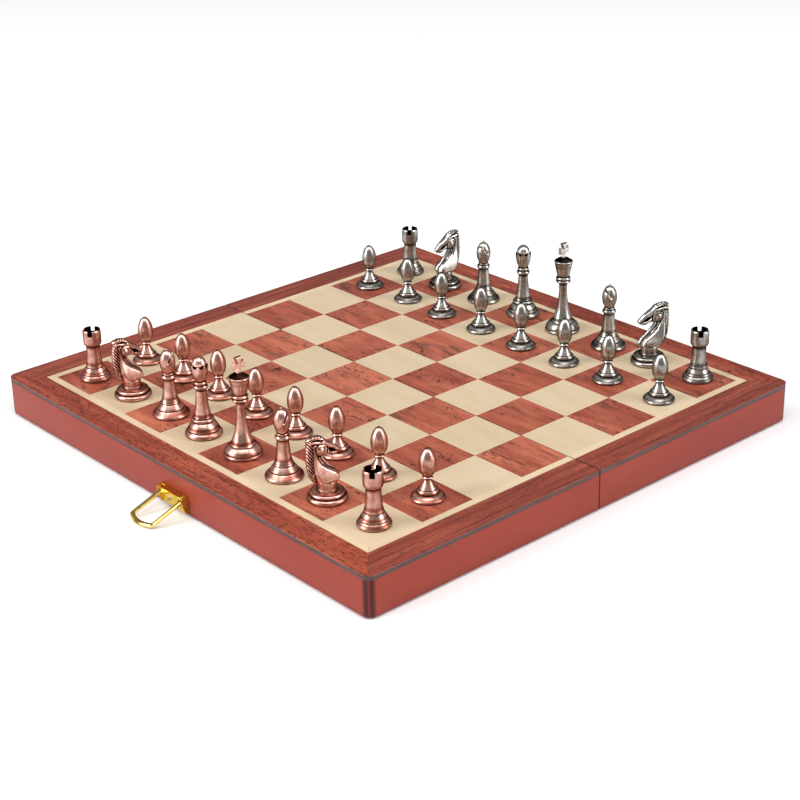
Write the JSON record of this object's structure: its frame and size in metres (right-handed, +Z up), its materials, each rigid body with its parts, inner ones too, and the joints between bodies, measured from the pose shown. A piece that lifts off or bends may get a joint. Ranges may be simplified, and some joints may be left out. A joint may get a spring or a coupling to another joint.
{
  "type": "folding chess set with board",
  "caption": "Folding wooden chess box opened flat into a marquetry board, with a bail latch, seam hinges, foam trays and turned metal chess pieces in their starting places.",
  "frame": {"origin": "middle of the seam between the two halves, level with the bottom rims of the box", "axes": "+X along the files from a to h, +Y from the latch side to the keeper side, +Z up out of the playing surface"},
  "size_m": [0.381, 0.4096, 0.0955],
  "materials": {
    "lacquered_wood": "red-brown lacquer, semi-gloss",
    "panel_edge": "dark stained edge band",
    "marquetry": "mahogany, maple and rosewood veneers, satin lacquer",
    "tray_foam": "black foam with a short velvet face",
    "polished_brass": "polished brass plate",
    "steel": "bright plated steel",
    "antique_copper": "antique copper plate with dark patina in the recesses",
    "antique_pewter": "antique nickel plate with dark patina in the recesses"
  },
  "bodies": {
    "front_half": {"front_latch_rail": "lacquered_wood", "front_left_rail": "lacquered_wood", "front_right_rail": "lacquered_wood", "front_seam_rail": "lacquered_wood", "front_top_panel": "panel_edge", "front_playing_surface": "marquetry", "front_storage_tray": "tray_foam", "latch_bracket": "polished_brass", "latch_screw_left": "steel", "latch_screw_right": "steel", "left_hinge_front_leaf": "polished_brass", "left_hinge_pin": "steel", "right_hinge_front_leaf": "polished_brass", "right_hinge_pin": "steel"},
    "back_half": {"back_keeper_rail": "lacquered_wood", "back_left_rail": "lacquered_wood", "back_right_rail": "lacquered_wood", "back_seam_rail": "lacquered_wood", "back_top_panel": "panel_edge", "back_playing_surface": "marquetry", "back_storage_tray": "tray_foam", "latch_keeper": "polished_brass", "keeper_screw_left": "steel", "keeper_screw_right": "steel", "left_hinge_back_leaf": "polished_brass", "right_hinge_back_leaf": "polished_brass"},
    "latch_loop": {"latch_loop": "polished_brass"},
    "copper_rook_a1": {"copper_rook_a1": "antique_copper"},
    "copper_knight_b1": {"copper_knight_b1": "antique_copper"},
    "copper_bishop_c1": {"copper_bishop_c1": "antique_copper"},
    "copper_queen_d1": {"copper_queen_d1": "antique_copper"},
    "copper_king_e1": {"copper_king_e1": "antique_copper"},
    "copper_bishop_f1": {"copper_bishop_f1": "antique_copper"},
    "copper_knight_g1": {"copper_knight_g1": "antique_copper"},
    "copper_rook_h1": {"copper_rook_h1": "antique_copper"},
    "copper_pawn_a2": {"copper_pawn_a2": "antique_copper"},
    "copper_pawn_b2": {"copper_pawn_b2": "antique_copper"},
    "copper_pawn_c2": {"copper_pawn_c2": "antique_copper"},
    "copper_pawn_d2": {"copper_pawn_d2": "antique_copper"},
    "copper_pawn_e2": {"copper_pawn_e2": "antique_copper"},
    "copper_pawn_f2": {"copper_pawn_f2": "antique_copper"},
    "copper_pawn_g2": {"copper_pawn_g2": "antique_copper"},
    "copper_pawn_h2": {"copper_pawn_h2": "antique_copper"},
    "pewter_rook_a8": {"pewter_rook_a8": "antique_pewter"},
    "pewter_knight_b8": {"pewter_knight_b8": "antique_pewter"},
    "pewter_bishop_c8": {"pewter_bishop_c8": "antique_pewter"},
    "pewter_queen_d8": {"pewter_queen_d8": "antique_pewter"},
    "pewter_king_e8": {"pewter_king_e8": "antique_pewter"},
    "pewter_bishop_f8": {"pewter_bishop_f8": "antique_pewter"},
    "pewter_knight_g8": {"pewter_knight_g8": "antique_pewter"},
    "pewter_rook_h8": {"pewter_rook_h8": "antique_pewter"},
    "pewter_pawn_a7": {"pewter_pawn_a7": "antique_pewter"},
    "pewter_pawn_b7": {"pewter_pawn_b7": "antique_pewter"},
    "pewter_pawn_c7": {"pewter_pawn_c7": "antique_pewter"},
    "pewter_pawn_d7": {"pewter_pawn_d7": "antique_pewter"},
    "pewter_pawn_e7": {"pewter_pawn_e7": "antique_pewter"},
    "pewter_pawn_f7": {"pewter_pawn_f7": "antique_pewter"},
    "pewter_pawn_g7": {"pewter_pawn_g7": "antique_pewter"},
    "pewter_pawn_h7": {"pewter_pawn_h7": "antique_pewter"}
  },
  "joints": [
    {"name": "board_fold", "type": "hinge", "parent": "front_half", "child": "back_half", "pos_m": [0, 0, -0.0001], "axis": [-1, 0, 0], "range_deg": [0, 180]},
    {"name": "latch_swing", "type": "hinge", "parent": "front_half", "child": "latch_loop", "pos_m": [0.007, -0.1904, 0.0095], "axis": [1, 0, 0], "range_deg": [-28, 70]},
    {"name": "lift_copper_rook_a1", "type": "slide", "parent": "front_half", "child": "copper_rook_a1", "axis": [0, 0, 1], "range_m": [0, 0.1]},
    {"name": "lift_copper_knight_b1", "type": "slide", "parent": "front_half", "child": "copper_knight_b1", "axis": [0, 0, 1], "range_m": [0, 0.1]},
    {"name": "lift_copper_bishop_c1", "type": "slide", "parent": "front_half", "child": "copper_bishop_c1", "axis": [0, 0, 1], "range_m": [0, 0.1]},
    {"name": "lift_copper_queen_d1", "type": "slide", "parent": "front_half", "child": "copper_queen_d1", "axis": [0, 0, 1], "range_m": [0, 0.1]},
    {"name": "lift_copper_king_e1", "type": "slide", "parent": "front_half", "child": "copper_king_e1", "axis": [0, 0, 1], "range_m": [0, 0.1]},
    {"name": "lift_copper_bishop_f1", "type": "slide", "parent": "front_half", "child": "copper_bishop_f1", "axis": [0, 0, 1], "range_m": [0, 0.1]},
    {"name": "lift_copper_knight_g1", "type": "slide", "parent": "front_half", "child": "copper_knight_g1", "axis": [0, 0, 1], "range_m": [0, 0.1]},
    {"name": "lift_copper_rook_h1", "type": "slide", "parent": "front_half", "child": "copper_rook_h1", "axis": [0, 0, 1], "range_m": [0, 0.1]},
    {"name": "lift_copper_pawn_a2", "type": "slide", "parent": "front_half", "child": "copper_pawn_a2", "axis": [0, 0, 1], "range_m": [0, 0.1]},
    {"name": "lift_copper_pawn_b2", "type": "slide", "parent": "front_half", "child": "copper_pawn_b2", "axis": [0, 0, 1], "range_m": [0, 0.1]},
    {"name": "lift_copper_pawn_c2", "type": "slide", "parent": "front_half", "child": "copper_pawn_c2", "axis": [0, 0, 1], "range_m": [0, 0.1]},
    {"name": "lift_copper_pawn_d2", "type": "slide", "parent": "front_half", "child": "copper_pawn_d2", "axis": [0, 0, 1], "range_m": [0, 0.1]},
    {"name": "lift_copper_pawn_e2", "type": "slide", "parent": "front_half", "child": "copper_pawn_e2", "axis": [0, 0, 1], "range_m": [0, 0.1]},
    {"name": "lift_copper_pawn_f2", "type": "slide", "parent": "front_half", "child": "copper_pawn_f2", "axis": [0, 0, 1], "range_m": [0, 0.1]},
    {"name": "lift_copper_pawn_g2", "type": "slide", "parent": "front_half", "child": "copper_pawn_g2", "axis": [0, 0, 1], "range_m": [0, 0.1]},
    {"name": "lift_copper_pawn_h2", "type": "slide", "parent": "front_half", "child": "copper_pawn_h2", "axis": [0, 0, 1], "range_m": [0, 0.1]},
    {"name": "lift_pewter_rook_a8", "type": "slide", "parent": "back_half", "child": "pewter_rook_a8", "axis": [0, 0, 1], "range_m": [0, 0.1]},
    {"name": "lift_pewter_knight_b8", "type": "slide", "parent": "back_half", "child": "pewter_knight_b8", "axis": [0, 0, 1], "range_m": [0, 0.1]},
    {"name": "lift_pewter_bishop_c8", "type": "slide", "parent": "back_half", "child": "pewter_bishop_c8", "axis": [0, 0, 1], "range_m": [0, 0.1]},
    {"name": "lift_pewter_queen_d8", "type": "slide", "parent": "back_half", "child": "pewter_queen_d8", "axis": [0, 0, 1], "range_m": [0, 0.1]},
    {"name": "lift_pewter_king_e8", "type": "slide", "parent": "back_half", "child": "pewter_king_e8", "axis": [0, 0, 1], "range_m": [0, 0.1]},
    {"name": "lift_pewter_bishop_f8", "type": "slide", "parent": "back_half", "child": "pewter_bishop_f8", "axis": [0, 0, 1], "range_m": [0, 0.1]},
    {"name": "lift_pewter_knight_g8", "type": "slide", "parent": "back_half", "child": "pewter_knight_g8", "axis": [0, 0, 1], "range_m": [0, 0.1]},
    {"name": "lift_pewter_rook_h8", "type": "slide", "parent": "back_half", "child": "pewter_rook_h8", "axis": [0, 0, 1], "range_m": [0, 0.1]},
    {"name": "lift_pewter_pawn_a7", "type": "slide", "parent": "back_half", "child": "pewter_pawn_a7", "axis": [0, 0, 1], "range_m": [0, 0.1]},
    {"name": "lift_pewter_pawn_b7", "type": "slide", "parent": "back_half", "child": "pewter_pawn_b7", "axis": [0, 0, 1], "range_m": [0, 0.1]},
    {"name": "lift_pewter_pawn_c7", "type": "slide", "parent": "back_half", "child": "pewter_pawn_c7", "axis": [0, 0, 1], "range_m": [0, 0.1]},
    {"name": "lift_pewter_pawn_d7", "type": "slide", "parent": "back_half", "child": "pewter_pawn_d7", "axis": [0, 0, 1], "range_m": [0, 0.1]},
    {"name": "lift_pewter_pawn_e7", "type": "slide", "parent": "back_half", "child": "pewter_pawn_e7", "axis": [0, 0, 1], "range_m": [0, 0.1]},
    {"name": "lift_pewter_pawn_f7", "type": "slide", "parent": "back_half", "child": "pewter_pawn_f7", "axis": [0, 0, 1], "range_m": [0, 0.1]},
    {"name": "lift_pewter_pawn_g7", "type": "slide", "parent": "back_half", "child": "pewter_pawn_g7", "axis": [0, 0, 1], "range_m": [0, 0.1]},
    {"name": "lift_pewter_pawn_h7", "type": "slide", "parent": "back_half", "child": "pewter_pawn_h7", "axis": [0, 0, 1], "range_m": [0, 0.1]}
  ]
}
